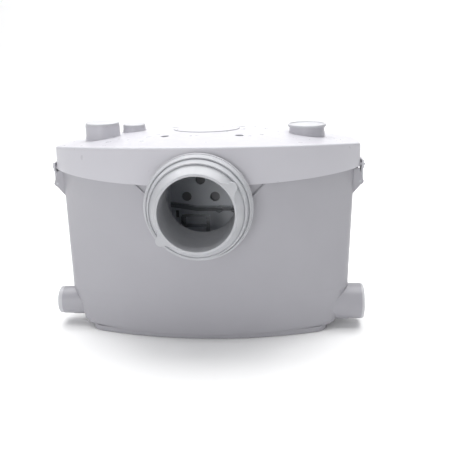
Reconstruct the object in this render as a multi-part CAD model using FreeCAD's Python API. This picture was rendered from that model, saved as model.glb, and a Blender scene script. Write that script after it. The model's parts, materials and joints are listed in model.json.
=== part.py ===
import FreeCAD, Part
import math
import os

# Macerator toilet pump, millimetres. +Z is up, the toilet's outlet enters along +Y,
# and the origin is on the floor, in the middle of the tank's base.

# Overall heights
FLOOR_THICKNESS = 3.5
PLINTH_HEIGHT = 8.0
SKIRT_BOTTOM = 214.5
TANK_RIM = 230.0
CROWN_HEIGHT = 263.2

# Tank, measured at the lid's edge and at the base
TANK_WALL = 3.5
TANK_HALF_WIDTH = 191.6
TANK_FRONT = -85.0
TANK_SHOULDER = 18.0
TANK_BACK = 84.0
TANK_BASE_FRONT = -48.0
TANK_BASE_SHOULDER = -16.0
TANK_BASE_BACK = 80.0
TANK_CORNER = 22.0
TANK_BACK_CORNER = 14.0
WAIST_HEIGHT = 58.0
WAIST_HALF_WIDTH = 185.4
CHAMFER_HEIGHT = 36.0
CHAMFER_HALF_WIDTH = 177.0
FOOT_HEIGHT = 18.0
FOOT_HALF_WIDTH = 173.0
FOOT_ROUND = 9.0
PLINTH_HALF_WIDTH = 158.5
PLINTH_STEP = 1.5
PLINTH_EDGE = 2.5
RIM_FLANGE = 2.2
RIM_FLANGE_HEIGHT = 5.0

# Lid
LID_WALL = 3.0
LID_HALF_WIDTH = 199.0
LID_FRONT = -91.0
LID_SHOULDER = 18.0
LID_BACK = 90.0
LID_CORNER = 20.0
LID_BACK_CORNER = 16.0
LID_DRAFT = 1.8
LID_EDGE_ROUND = 2.5
CROWN_RADIUS = 1030.0
DISC_Y = 40.0
DISC_RADIUS = 42.5
DISC_SUNK = 1.2
DISC_PROUD = 0.7
DISC_GROOVE = 0.9
SEAT_GAP = 0.3

# Gasket between rim and lid
GASKET_HEIGHT = 3.0
GASKET_WIDTH = 5.5

# Lid screws
SCREW_X = 45.5
SCREW_Y_FRONT = -23.0
SCREW_Y_BACK = 71.5
SCREW_SHANK_RADIUS = 2.0
SCREW_HEAD_RADIUS = 4.3
SCREW_HEAD_HEIGHT = 2.6
SCREW_RECESS_RADIUS = 5.2
SCREW_RECESS_DEPTH = 6.0
SCREW_POST_RADIUS = 6.4
LUG_THICKNESS = 5.0

# Toilet inlet
INLET_HEIGHT = 190.6
BOSS_RADIUS = 54.0
BOSS_FRONT = -95.0
BOSS_BACK = -48.5
SLEEVE_BORE = 43.3
SLEEVE_WALL = 3.2
SLEEVE_MOUTH = -125.0
COLLAR_RADIUS = 63.2
COLLAR_THICKNESS = 4.5
SLEEVE_LIP = 0.8
SLEEVE_STEPS = ((56.2, -112.6), (60.8, -103.4))
SEAT_DEPTH = 1.5
NOTCH_GAP = 1.5
TAB_REACH = 56.5
TAB_RADIUS = 6.0
TAB_THICKNESS = 2.6
TAB_ANGLE = 37.0
RIB_THICKNESS = 1.6
RIB_STAND = 1.8

# Low side inlets
SIDE_Y = 8.0
SIDE_HEIGHT = 32.0
SIDE_INNER_END = 158.0
LEFT_SPIGOT_RADIUS = 18.7
LEFT_SPIGOT_BORE = 15.5
LEFT_SPIGOT_END = 200.5
LEFT_PLUG_FLANGE = 6.0
RIGHT_SPIGOT_RADIUS = 23.8
RIGHT_SPIGOT_BORE = 18.9
RIGHT_SPIGOT_END = 203.0
RIGHT_PLUG_FLANGE = 3.5
PLUG_STEM = 16.0
ROOT_COLLAR = 0.6
ROOT_COLLAR_END = 187.0
FLAP_LAP = 1.2
FLAP_THICKNESS = 2.5
FLAP_SEAT_GAP = 0.35
PIVOT_RISE = 6.0
PIN_RADIUS = 1.5
PIN_CLEARANCE = 0.05
KNUCKLE_RADIUS = 3.0
EAR_THICKNESS = 3.0
KNUCKLE_HALF = 9.0

# Spigots on the lid: centre x, centre y, radius, bore, top, cap thickness, cap overhang
BASIN_SPIGOT = (-134.0, 23.0, 21.9, 19.0, 271.0, 3.2, -0.4)
OUTLET_SPIGOT = (-99.5, 58.0, 15.1, 12.3, 263.6, 3.2, -0.3)
VENT_SPIGOT = (130.0, 30.0, 22.5, 19.5, 264.6, 3.4, 1.9)
LID_SPIGOTS = (BASIN_SPIGOT, OUTLET_SPIGOT, VENT_SPIGOT)
CAP_STEM = 12.0
CAP_WALL = 2.0
SPIGOT_DEPTH = 12.0
FOOT_COLLAR = 0.6
FOOT_STAND = 0.3

# Side clips
CLIP_Y = 26.0
CLIP_WIDTH = 22.0
CLIP_THICKNESS = 2.6
CLIP_GAP = 0.5
CLIP_PIVOT_DROP = 19.5
CLIP_PIVOT_INSET = 0.4
CLIP_RISE = 8.0
CATCH_RISE = 4.0
CATCH_OVERHANG = 2.5
CATCH_NOSE = 3.0
LUG_DROP = 2.5
PAD_INSET = 3.0
CATCH_WIDTH = 14.0
WINDOW_MARGIN = 1.5
EAR_RADIUS = 4.2
GRIP_REACH = 1.4

# Macerator and pump share one level shaft along X
SHAFT_Y = 14.0
SHAFT_Z = 98.0
SHAFT_RADIUS = 6.0
BASKET_RADIUS = 56.0
BASKET_WALL = 2.5
BASKET_LEFT = -56.0
BASKET_RIGHT = 46.0
BASKET_TOP = 236.0
BASKET_FRONT_TOP = 133.0
BASKET_CLEARANCE = 2.0
HOLE_RADIUS = 6.8
HOLE_PITCH = 40.0
HOLE_ROW = 24.0
HOLE_FIRST_ROW = 162.0
BLADE_TIP = 54.0
BLADE_LEFT = -34.0
BLADE_RIGHT = 3.0
BLADE_THICKNESS = 3.0
BLADE_BAR = 5.0
HUB_RADIUS = 11.0
CUTTER_HEIGHT = 147.0
SUCTION_GAP = 10.0
PLATE_THICKNESS = 3.0
VOLUTE_RADIUS = 44.0
VOLUTE_WIDTH = 18.5
IMPELLER_RADIUS = 28.0
IMPELLER_VANES = 6
MOTOR_RADIUS = 38.0
MOTOR_WALL = 2.0
MOTOR_LENGTH = 52.0
SHIELD_THICKNESS = 6.0
BEARING_RADIUS = 16.0
BEARING_WIDTH = 9.0
SEAL_RADIUS = 12.0
ROTOR_RADIUS = 25.0
MOTOR_BOLT_CIRCLE = 38.5
BUSH_RADIUS = 9.0
RUNNING_CLEARANCE = 0.05

# Discharge pipe and its non-return valve
PIPE_RADIUS = 9.2
PIPE_WALL = 2.0
PIPE_HEIGHT = 20.0
PIPE_BEND = 18.0
PIPE_OFFSET = 32.0
PIPE_JOINT = 54.0
OUTLET_TUBE_RADIUS = 11.9
VALVE_BOTTOM = 148.0
VALVE_TOP = 198.0
VALVE_RADIUS = 19.0
VALVE_WALL = 3.0
VALVE_FLAP_RADIUS = 12.0
VALVE_PIVOT_RISE = 6.0
VALVE_KNUCKLE = 2.5
VALVE_KNUCKLE_HALF = 5.0

# Pressure switch column
SWITCH_X = -110.0
SWITCH_Y = -5.0
COLUMN_RADIUS = 19.0
COLUMN_WALL = 2.5
COLUMN_TOP = 140.0
DRUM_RADIUS = 26.0
DIAPHRAGM_THICKNESS = 2.0
PLUNGER_RADIUS = 4.0
PLUNGER_TRAVEL = 2.5
PLUNGER_LENGTH = 15.0

# Things carried by the motor
CAPACITOR_RADIUS = 14.0
CAPACITOR_LENGTH = 46.0
TERMINAL_STAND = 6.0
TERMINAL_HEIGHT = 26.0
TERMINAL_WALL = 2.0
GLAND_X = 120.0
GLAND_Z = 195.0
GLAND_HOLE = 8.0
GLAND_BORE = 4.0
MOUNT_HEIGHT = 6.0

# Places that follow from the sizes above
CLIP_PIVOT_HEIGHT = SKIRT_BOTTOM - CLIP_PIVOT_DROP
CLIP_PIVOT_OUT = LID_HALF_WIDTH - CLIP_PIVOT_INSET
CLIP_TOP = SKIRT_BOTTOM + CLIP_RISE
CATCH_TOP = SKIRT_BOTTOM + CATCH_RISE
CATCH_REACH = LID_HALF_WIDTH + CLIP_GAP + CLIP_THICKNESS + CATCH_OVERHANG
LUG_TOP = SKIRT_BOTTOM - LUG_DROP
PAD_REACH = LID_HALF_WIDTH - PAD_INSET

V = FreeCAD.Vector
AXIS_X = V(1, 0, 0)
AXIS_Y = V(0, 1, 0)
AXIS_Z = V(0, 0, 1)
FAR = 600.0


# Basic shapes

def cylinder(radius, start, axis, length):
    return Part.makeCylinder(radius, length, V(*start), axis)


def ring(outer, inner, start, axis, length):
    return cylinder(outer, start, axis, length).cut(cylinder(inner, start, axis, length))


def block(x0, x1, y0, y1, z0, z1):
    low = V(min(x0, x1), min(y0, y1), min(z0, z1))
    return Part.makeBox(abs(x1 - x0), abs(y1 - y0), abs(z1 - z0), low)


def plate(points, push):
    wire = Part.makePolygon([V(*p) for p in points] + [V(*points[0])])
    return Part.Face(wire).extrude(V(*push))


def revolved(profile, centre, axis):
    """Turns a profile of (radius, distance along the axis) points about a line through centre."""
    side = AXIS_Z if abs(axis.dot(AXIS_Z)) < 0.5 else AXIS_X
    points = [V(*centre) + side * r + axis * along for r, along in profile]
    face = Part.Face(Part.makePolygon(points + [points[0]]))
    return face.revolve(V(*centre), axis, 360)


def hexagon(across_flats, centre, axis, length):
    side = AXIS_Z if abs(axis.dot(AXIS_Z)) < 0.5 else AXIS_X
    other = axis.cross(side)
    radius = across_flats / math.sqrt(3)
    angles = [math.radians(60 * i) for i in range(7)]
    points = [V(*centre) + side * (radius * math.cos(a)) + other * (radius * math.sin(a)) for a in angles]
    return Part.Face(Part.makePolygon(points)).extrude(axis * length)


def fuse(shapes):
    return shapes[0].multiFuse(shapes[1:]).removeSplitter()


def cut(shape, tools):
    for tool in tools:
        shape = shape.cut(tool)
    return shape


def mirrored(shape):
    return shape.mirror(V(0, 0, 0), AXIS_X)


def save(name, shape):
    if isinstance(shape, list):
        shape = Part.makeCompound(shape)
    shape.exportStep(os.path.join("parts", name + ".step"))


# D-shaped outlines: a bowed front, rounded shoulders, straight sides and a straight back

class Outline:
    def __init__(self, half_width, front, shoulder, back, corner, back_corner):
        sagitta = shoulder - front
        self.half_width = half_width
        self.front = front
        self.back = back
        self.corner = corner
        self.back_corner = back_corner
        self.bow = (half_width ** 2 + sagitta ** 2) / (2 * sagitta)

    def inset(self, depth):
        smaller = Outline.__new__(Outline)
        smaller.half_width = self.half_width - depth
        smaller.front = self.front + depth
        smaller.back = self.back - depth
        smaller.corner = self.corner - depth
        smaller.back_corner = self.back_corner - depth
        smaller.bow = self.bow - depth
        return smaller

    def front_at(self, x):
        return self.front + self.bow - math.sqrt(self.bow ** 2 - x ** 2)

    def wire(self, z):
        bow_centre = self.front + self.bow
        corner_x = self.half_width - self.corner
        reach = self.bow - self.corner
        corner_y = bow_centre - math.sqrt(reach ** 2 - corner_x ** 2)
        turn = math.atan2(corner_y - bow_centre, corner_x)
        touch = V(self.bow * math.cos(turn), bow_centre + self.bow * math.sin(turn), z)
        middle = V(corner_x, corner_y, z) + V(math.cos(turn / 2), math.sin(turn / 2), 0) * self.corner
        side = V(self.half_width, corner_y, z)
        side_back = V(self.half_width, self.back - self.back_corner, z)
        bend = self.back_corner * (1 - math.sqrt(0.5))
        back_middle = V(self.half_width - bend, self.back - bend, z)
        back_end = V(self.half_width - self.back_corner, self.back, z)

        def left(p):
            return V(-p.x, p.y, p.z)

        edges = [
            Part.Arc(left(touch), V(0, self.front, z), touch).toShape(),
            Part.Arc(touch, middle, side).toShape(),
            Part.makeLine(side, side_back),
            Part.Arc(side_back, back_middle, back_end).toShape(),
            Part.makeLine(back_end, left(back_end)),
            Part.Arc(left(back_end), left(back_middle), left(side_back)).toShape(),
            Part.makeLine(left(side_back), left(side)),
            Part.Arc(left(side), left(middle), left(touch)).toShape(),
        ]
        return Part.Wire(edges)

    def prism(self, bottom, top):
        return Part.Face(self.wire(bottom)).extrude(V(0, 0, top - bottom))


def between(low, high, share):
    return low + (high - low) * share


def tank_outline(z, half_width):
    share = min(z, SKIRT_BOTTOM) / SKIRT_BOTTOM
    front = between(TANK_BASE_FRONT, TANK_FRONT, share)
    shoulder = between(TANK_BASE_SHOULDER, TANK_SHOULDER, share)
    back = between(TANK_BASE_BACK, TANK_BACK, share)
    return Outline(half_width, front, shoulder, back, TANK_CORNER, TANK_BACK_CORNER)


def tank_half_width(z):
    """Half the tank's width above the waist: the sides lean out up to the lid's edge, then stand upright."""
    share = (min(z, SKIRT_BOTTOM) - WAIST_HEIGHT) / (SKIRT_BOTTOM - WAIST_HEIGHT)
    return between(WAIST_HALF_WIDTH, TANK_HALF_WIDTH, share)


def tank_levels(top):
    """Heights and half widths of the tank, from the round of its foot to its top."""
    levels = [(PLINTH_HEIGHT, FOOT_HALF_WIDTH - FOOT_ROUND)]
    for step in (1, 2):
        angle = math.radians(30 * step)
        rise = (FOOT_HEIGHT - PLINTH_HEIGHT) * (1 - math.cos(angle))
        levels.append((PLINTH_HEIGHT + rise, FOOT_HALF_WIDTH - FOOT_ROUND * (1 - math.sin(angle))))
    levels.append((FOOT_HEIGHT, FOOT_HALF_WIDTH))
    levels.append((CHAMFER_HEIGHT, CHAMFER_HALF_WIDTH))
    levels.append((WAIST_HEIGHT, WAIST_HALF_WIDTH))
    levels.append((SKIRT_BOTTOM, TANK_HALF_WIDTH))
    levels.append((top, TANK_HALF_WIDTH))
    return levels


def loft(wires):
    return Part.makeLoft(wires, True, True)


def plinth_outline():
    base = tank_outline(0, FOOT_HALF_WIDTH).inset(PLINTH_STEP)
    base.half_width = PLINTH_HALF_WIDTH
    return base


def crown(offset):
    """Everything under the lid's domed top, moved up by offset."""
    radius = CROWN_RADIUS + offset
    return Part.makeSphere(radius, V(0, 0, CROWN_HEIGHT - CROWN_RADIUS))


def crown_height(x, y, offset=0.0):
    radius = CROWN_RADIUS + offset
    return CROWN_HEIGHT - CROWN_RADIUS + math.sqrt(radius ** 2 - x ** 2 - y ** 2)


# Tank with its inlet boss, gusset ribs, side spigots, clip lugs and inner ribs

def side_spigot(side, radius, bore, end):
    """Outside and bore of a low side spigot; side is -1 at the left and 1 at the right."""
    start = (side * SIDE_INNER_END, SIDE_Y, SIDE_HEIGHT)
    axis = AXIS_X * side
    root = cylinder(radius + ROOT_COLLAR, start, axis, ROOT_COLLAR_END - SIDE_INNER_END)
    tube = cylinder(radius, start, axis, end - SIDE_INNER_END)
    return fuse([root, tube]), cylinder(bore, start, axis, end - SIDE_INNER_END)


def flap_pivot(radius):
    return SIDE_HEIGHT + radius + PIVOT_RISE


def flap_pivot_out():
    return SIDE_INNER_END - FLAP_SEAT_GAP - FLAP_THICKNESS / 2


def flap_ears(side, radius):
    pivot = flap_pivot(radius)
    ears = []
    for end in (-1, 1):
        inner = SIDE_Y + end * (KNUCKLE_HALF + SEAT_GAP)
        outer = inner + end * EAR_THICKNESS
        x_in = side * (flap_pivot_out() - KNUCKLE_RADIUS)
        x_out = side * (SIDE_INNER_END + EAR_THICKNESS)
        ear = block(x_in, x_out, inner, outer, SIDE_HEIGHT + radius - EAR_THICKNESS, pivot + KNUCKLE_RADIUS)
        centre = (side * flap_pivot_out(), min(inner, outer), pivot)
        ears.append(ear.cut(cylinder(PIN_RADIUS, centre, AXIS_Y, EAR_THICKNESS)))
    return ears


def clip_lug(side):
    """Two rounded ears on the tank's side that carry a clip's hinge pin, and the pad between them."""
    root = tank_half_width(CLIP_PIVOT_HEIGHT) - TANK_WALL / 2
    reach = CLIP_PIVOT_OUT + EAR_RADIUS
    low = CLIP_PIVOT_HEIGHT - 4 * EAR_RADIUS
    half = CLIP_WIDTH / 2
    pieces = []
    for end in (-1, 1):
        y = CLIP_Y + end * half
        web = plate([
            (root, y, low), (reach, y, CLIP_PIVOT_HEIGHT), (PAD_REACH + 1, y, LUG_TOP), (root, y, LUG_TOP)],
            (0, -end * EAR_THICKNESS, 0))
        round_end = cylinder(EAR_RADIUS, (CLIP_PIVOT_OUT, y, CLIP_PIVOT_HEIGHT), AXIS_Y * -end, EAR_THICKNESS)
        hole = cylinder(PIN_RADIUS, (CLIP_PIVOT_OUT, y, CLIP_PIVOT_HEIGHT), AXIS_Y * -end, EAR_THICKNESS)
        pieces.append(fuse([web, round_end]).cut(hole))
    low_pad = CLIP_PIVOT_HEIGHT + EAR_RADIUS + 1
    pieces.append(block(root, PAD_REACH, CLIP_Y - half, CLIP_Y + half, low_pad, LUG_TOP))
    return [piece if side > 0 else mirrored(piece) for piece in pieces]


def gusset_rib(side):
    """A thin web that climbs at 45 degrees from the side of the inlet boss to the lid's edge."""
    top = SKIRT_BOTTOM - 1
    rise = top - INLET_HEIGHT
    x0 = BOSS_RADIUS - RIB_THICKNESS
    width = RIB_THICKNESS * math.sqrt(2)
    low_y = tank_outline(INLET_HEIGHT, tank_half_width(INLET_HEIGHT)).front_at(x0) - RIB_STAND
    high_y = tank_outline(top, tank_half_width(top)).front_at(x0 + rise) - RIB_STAND
    profile = [
        (x0, low_y, INLET_HEIGHT), (x0 + width, low_y, INLET_HEIGHT), (x0 + width + rise, high_y, top),
        (x0 + rise, high_y, top)]
    rib = plate(profile, (0, RIB_STAND + TANK_WALL / 2, 0))
    return rib if side > 0 else mirrored(rib)


def make_tank():
    top = TANK_RIM
    outer = loft([tank_outline(z, w).wire(z) for z, w in tank_levels(top)])
    cavity_levels = [(z, w) for z, w in tank_levels(top + 1)]
    cavity_levels[0] = (PLINTH_HEIGHT + FLOOR_THICKNESS, cavity_levels[2][1])
    cavity_levels = [cavity_levels[0]] + cavity_levels[3:]
    cavity = loft([tank_outline(z, w).inset(TANK_WALL).wire(z) for z, w in cavity_levels])
    plinth = plinth_outline().prism(0, PLINTH_HEIGHT)
    bottom_edges = [e for e in plinth.Edges if e.BoundBox.ZMax < 0.01]
    plinth = plinth.makeFillet(PLINTH_EDGE, bottom_edges)
    well = plinth_outline().inset(TANK_WALL).prism(FLOOR_THICKNESS, PLINTH_HEIGHT + FLOOR_THICKNESS + 1)
    rim = tank_outline(top, tank_half_width(top)).inset(-RIM_FLANGE).prism(top - RIM_FLANGE_HEIGHT, top)
    boss = cylinder(BOSS_RADIUS, (0, BOSS_FRONT, INLET_HEIGHT), AXIS_Y, BOSS_BACK - BOSS_FRONT)
    start = (0, BOSS_FRONT - 1, INLET_HEIGHT)
    throat = cylinder(SLEEVE_BORE + SLEEVE_WALL + SEAT_GAP, start, AXIS_Y, BOSS_BACK - BOSS_FRONT + 2)
    left, left_bore = side_spigot(-1, LEFT_SPIGOT_RADIUS, LEFT_SPIGOT_BORE, LEFT_SPIGOT_END)
    right, right_bore = side_spigot(1, RIGHT_SPIGOT_RADIUS, RIGHT_SPIGOT_BORE, RIGHT_SPIGOT_END)
    shell = fuse([outer, rim, plinth]).cut(cavity).cut(well)
    additions = [boss, left, right, gusset_rib(1), gusset_rib(-1)]
    additions += clip_lug(1) + clip_lug(-1)
    additions += flap_ears(-1, LEFT_SPIGOT_RADIUS) + flap_ears(1, RIGHT_SPIGOT_RADIUS)
    additions += basket_ribs()
    gland = cylinder(GLAND_HOLE, (GLAND_X, TANK_BACK - 3 * TANK_WALL, GLAND_Z), AXIS_Y, 6 * TANK_WALL)
    return cut(fuse([shell] + additions), [throat, left_bore, right_bore, gland])


def basket_ribs():
    """Ribs on the tank's floor that hold the basket up."""
    saddle = cylinder(BASKET_RADIUS + BASKET_WALL + SEAT_GAP, (-FAR, SHAFT_Y, SHAFT_Z), AXIS_X, 2 * FAR)
    ribs = []
    for x in (BASKET_LEFT + 12, BASKET_RIGHT - 12):
        rib = block(x - 1.5, x + 1.5, SHAFT_Y - 28, SHAFT_Y + 24, FLOOR_THICKNESS - 1, SHAFT_Z - 30)
        ribs.append(rib.cut(saddle))
    return ribs


# Lid: a domed cap with a skirt, a gasket rib, a notch over the inlet boss, spigots and catches

def lid_outline(z):
    share = (z - SKIRT_BOTTOM) / (CROWN_HEIGHT - SKIRT_BOTTOM)
    outline = Outline(LID_HALF_WIDTH, LID_FRONT, LID_SHOULDER, LID_BACK, LID_CORNER, LID_BACK_CORNER)
    return outline.inset(LID_DRAFT * share)


def lid_rim_rib():
    """The rib under the dome that presses on the gasket, with its saddle over the inlet boss."""
    outline = tank_outline(TANK_RIM, tank_half_width(TANK_RIM))
    bottom = TANK_RIM + GASKET_HEIGHT
    top = CROWN_HEIGHT + 1
    band = outline.prism(bottom, top).cut(outline.inset(GASKET_WIDTH).prism(bottom, top))
    saddle = cylinder(
        BOSS_RADIUS + GASKET_HEIGHT + LID_WALL, (0, outline.front, INLET_HEIGHT), AXIS_Y, GASKET_WIDTH)
    upper = block(-FAR, FAR, -FAR, FAR, bottom, FAR)
    return fuse([band, saddle.common(upper)])


def boss_relief():
    """Room for the boss, the gasket arch over it and the collar."""
    outline = tank_outline(TANK_RIM, tank_half_width(TANK_RIM))
    start = (0, LID_FRONT - 5, INLET_HEIGHT)
    notch = cylinder(BOSS_RADIUS + NOTCH_GAP, start, AXIS_Y, BOSS_BACK - LID_FRONT + 6)
    arch = cylinder(BOSS_RADIUS + GASKET_HEIGHT, (0, outline.front, INLET_HEIGHT), AXIS_Y, GASKET_WIDTH)
    return fuse([notch, arch])


def screw_places():
    return [(side * SCREW_X, y) for y in (SCREW_Y_FRONT, SCREW_Y_BACK) for side in (-1, 1)]


def make_lid():
    top = CROWN_HEIGHT + 5
    body = loft([lid_outline(SKIRT_BOTTOM).wire(SKIRT_BOTTOM), lid_outline(top).wire(top)]).common(crown(0))
    rim_edges = [e for e in body.Edges if e.BoundBox.ZMin > SKIRT_BOTTOM + 5 and e.Length > 5
                 and abs(e.CenterOfMass.z - crown_height(e.CenterOfMass.x, e.CenterOfMass.y)) < 4]
    rim_edges = [e for e in rim_edges if e.BoundBox.ZLength < 25 and not is_upright(e)]
    body = body.makeFillet(LID_EDGE_ROUND, rim_edges)
    inside = loft([
        lid_outline(SKIRT_BOTTOM - 1).inset(LID_WALL).wire(SKIRT_BOTTOM - 1),
        lid_outline(top).inset(LID_WALL).wire(top)]).common(crown(-LID_WALL))
    shell = body.cut(inside)
    rib = lid_rim_rib().common(crown(-LID_WALL / 2))
    posts = [cylinder(SCREW_POST_RADIUS, (x, y, BASKET_TOP), AXIS_Z, CROWN_HEIGHT) for x, y in screw_places()]
    posts = [post.common(crown(-1)) for post in posts]
    spigots = [lid_spigot(*spec[:3], spec[4]) for spec in LID_SPIGOTS]
    shell = fuse([shell, rib] + posts + spigots + [catch(1), catch(-1)])
    tools = [boss_relief(), disc_space(DISC_GROOVE, 5)]
    for x, y in screw_places():
        head = crown_height(x, y) - SCREW_RECESS_DEPTH
        tools.append(cylinder(SCREW_RECESS_RADIUS, (x, y, head), AXIS_Z, 20))
        tools.append(cylinder(SCREW_SHANK_RADIUS, (x, y, BASKET_TOP - 1), AXIS_Z, 30))
    for x, y, _, bore, *_ in LID_SPIGOTS:
        tools.append(cylinder(bore, (x, y, crown_height(x, y) - 40), AXIS_Z, 80))
    return cut(shell, tools)


def is_upright(edge):
    return edge.BoundBox.ZLength > 10 and edge.BoundBox.XLength < 3 and edge.BoundBox.YLength < 3


def lid_spigot(x, y, radius, end):
    """A spigot through the lid: a foot collar on the dome, the tube above it and a slimmer socket below."""
    dome = crown_height(x, y)
    base = dome - LID_WALL - SPIGOT_DEPTH
    rise = radius * math.hypot(x, y) / CROWN_RADIUS + FOOT_STAND
    foot = cylinder(radius + FOOT_COLLAR, (x, y, dome - LID_WALL), AXIS_Z, LID_WALL + rise)
    tube = cylinder(radius, (x, y, dome - LID_WALL), AXIS_Z, end - dome + LID_WALL)
    socket = cylinder(radius - FOOT_COLLAR, (x, y, base), AXIS_Z, LID_WALL + SPIGOT_DEPTH)
    return fuse([socket, foot, tube])


def disc_space(margin, rise):
    """The domed disc's room in the lid, or the disc itself with no margin."""
    column = cylinder(DISC_RADIUS + margin, (0, DISC_Y, SKIRT_BOTTOM), AXIS_Z, CROWN_HEIGHT)
    return column.common(crown(rise)).cut(crown(-DISC_SUNK))


def catch(side):
    x0 = LID_HALF_WIDTH - LID_WALL / 2
    y0 = CLIP_Y - CATCH_WIDTH / 2
    wedge = plate([
        (x0, y0, CATCH_TOP), (LID_HALF_WIDTH + CLIP_GAP + CLIP_THICKNESS, y0, CATCH_TOP),
        (CATCH_REACH, y0, CATCH_TOP - CATCH_NOSE / 2), (CATCH_REACH, y0, CATCH_TOP - CATCH_NOSE),
        (x0, y0, SKIRT_BOTTOM)], (0, CATCH_WIDTH, 0))
    return wedge if side > 0 else mirrored(wedge)


def make_gasket():
    outline = tank_outline(TANK_RIM, tank_half_width(TANK_RIM))
    top = TANK_RIM + GASKET_HEIGHT
    band = outline.prism(TANK_RIM, top).cut(outline.inset(GASKET_WIDTH).prism(TANK_RIM, top))
    start = (0, outline.front, INLET_HEIGHT)
    arch = ring(BOSS_RADIUS + GASKET_HEIGHT, BOSS_RADIUS, start, AXIS_Y, GASKET_WIDTH)
    arch = arch.common(block(-FAR, FAR, -FAR, FAR, TANK_RIM, FAR))
    return fuse([band, arch]).cut(cylinder(BOSS_RADIUS, (0, -FAR, INLET_HEIGHT), AXIS_Y, FAR))


def make_lid_screws():
    screws = []
    for x, y in screw_places():
        head = crown_height(x, y) - SCREW_RECESS_DEPTH
        tip = BASKET_TOP - LUG_THICKNESS - 3
        screw = fuse([
            cylinder(SCREW_HEAD_RADIUS, (x, y, head), AXIS_Z, SCREW_HEAD_HEIGHT),
            cylinder(SCREW_SHANK_RADIUS, (x, y, tip), AXIS_Z, head - tip)])
        slot = SCREW_HEAD_RADIUS * 0.55
        cross = [block(x - slot, x + slot, y - 0.6, y + 0.6, head + 1.2, head + 9),
                 block(x - 0.6, x + 0.6, y - slot, y + slot, head + 1.2, head + 9)]
        screws.append(cut(screw, cross))
    return screws


# Toilet inlet: collar, stepped sleeve and its pull tabs

def make_collar():
    start = (0, BOSS_FRONT - SEAT_DEPTH, INLET_HEIGHT)
    return ring(COLLAR_RADIUS, BOSS_RADIUS, start, AXIS_Y, COLLAR_THICKNESS)


def pull_tab(angle):
    centre = TAB_REACH - TAB_RADIUS
    start = (0, SLEEVE_MOUTH, INLET_HEIGHT)
    tip = cylinder(TAB_RADIUS, (centre, SLEEVE_MOUTH, INLET_HEIGHT), AXIS_Y, TAB_THICKNESS)
    root = SLEEVE_BORE + 1
    corners = ((root, -2), (centre, -1), (centre, 1), (root, 2))
    outline = [(x, SLEEVE_MOUTH, INLET_HEIGHT + rise * TAB_RADIUS) for x, rise in corners]
    web = plate(outline, (0, TAB_THICKNESS, 0))
    tab = fuse([tip, web])
    tab.rotate(V(*start), AXIS_Y, -angle)
    return tab


def make_sleeve():
    seat = BOSS_FRONT
    outer = SLEEVE_BORE + SLEEVE_WALL
    profile = [
        (SLEEVE_BORE, SLEEVE_MOUTH), (outer - SLEEVE_LIP, SLEEVE_MOUTH), (outer, SLEEVE_MOUTH + SLEEVE_LIP)]
    for radius, front in SLEEVE_STEPS:
        profile += [
            (radius - 3 * SLEEVE_LIP, front + SLEEVE_LIP / 2), (radius - 2 * SLEEVE_LIP, front - SLEEVE_LIP),
            (radius - SLEEVE_LIP / 2, front - SLEEVE_LIP), (radius, front)]
    profile += [
        (COLLAR_RADIUS - SLEEVE_LIP, seat - SEAT_DEPTH), (BOSS_RADIUS, seat - SEAT_DEPTH),
        (BOSS_RADIUS, seat), (outer, seat), (outer, BOSS_BACK), (SLEEVE_BORE, BOSS_BACK)]
    body = revolved(profile, (0, 0, INLET_HEIGHT), AXIS_Y)
    sleeve = fuse([body, pull_tab(TAB_ANGLE), pull_tab(TAB_ANGLE + 180)])
    return sleeve.cut(cylinder(SLEEVE_BORE, (0, -FAR, INLET_HEIGHT), AXIS_Y, 2 * FAR))


# Caps and plugs

def make_cap(x, y, radius, bore, end, cap, lip, dish=0.0):
    """A cap with a flange on the spigot's end and a hollow stem inside it."""
    outer = radius + lip
    stem = bore - SEAT_GAP
    top = end + cap
    profile = [
        (0, end + CAP_WALL / 2), (stem - CAP_WALL, end + CAP_WALL / 2), (stem - CAP_WALL, end - CAP_STEM),
        (stem, end - CAP_STEM), (stem, end), (outer - 0.3, end), (outer, end + 0.3), (outer, top - 0.6),
        (outer - 0.6, top)]
    if dish > 0:
        profile += [(outer - 2.2, top), (outer - 3.2, top - dish), (0, top - dish)]
    else:
        profile += [(0, top)]
    return revolved(profile, (x, y, 0), AXIS_Z)


def make_side_plug(side, radius, bore, end, flange):
    stem = bore - SEAT_GAP
    rim = radius - SEAT_GAP
    inner = stem - CAP_WALL
    face = end + flange
    bevel = 1.2
    dish = 0.6
    profile = [
        (0, face - CAP_WALL), (inner, face - CAP_WALL), (inner, end - PLUG_STEM), (stem, end - PLUG_STEM),
        (stem, end), (rim, end), (rim, face - bevel), (rim - bevel, face), (inner, face),
        (inner - 1, face - dish), (0, face - dish)]
    return revolved(profile, (0, SIDE_Y, SIDE_HEIGHT), AXIS_X * side)


def make_flap(side, radius, bore):
    """A hanging non-return flap with its knuckle, which covers a side spigot's inner end."""
    pivot = flap_pivot(radius)
    inner = SIDE_INNER_END - FLAP_SEAT_GAP - FLAP_THICKNESS
    disc = cylinder(bore + FLAP_LAP, (inner, SIDE_Y, SIDE_HEIGHT), AXIS_X, FLAP_THICKNESS)
    start = SIDE_Y - KNUCKLE_HALF
    arm = block(inner, inner + FLAP_THICKNESS, start, start + 2 * KNUCKLE_HALF, SIDE_HEIGHT + bore / 2, pivot)
    centre = (flap_pivot_out(), start, pivot)
    knuckle = cylinder(KNUCKLE_RADIUS, centre, AXIS_Y, 2 * KNUCKLE_HALF)
    hole = cylinder(PIN_RADIUS + PIN_CLEARANCE, centre, AXIS_Y, 2 * KNUCKLE_HALF)
    flap = fuse([disc, arm, knuckle]).cut(hole)
    return flap if side > 0 else mirrored(flap)


def make_flap_pin(side, radius):
    half = KNUCKLE_HALF + SEAT_GAP + EAR_THICKNESS
    start = (side * flap_pivot_out(), SIDE_Y - half, flap_pivot(radius))
    return cylinder(PIN_RADIUS, start, AXIS_Y, 2 * half)


# Side clips

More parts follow.
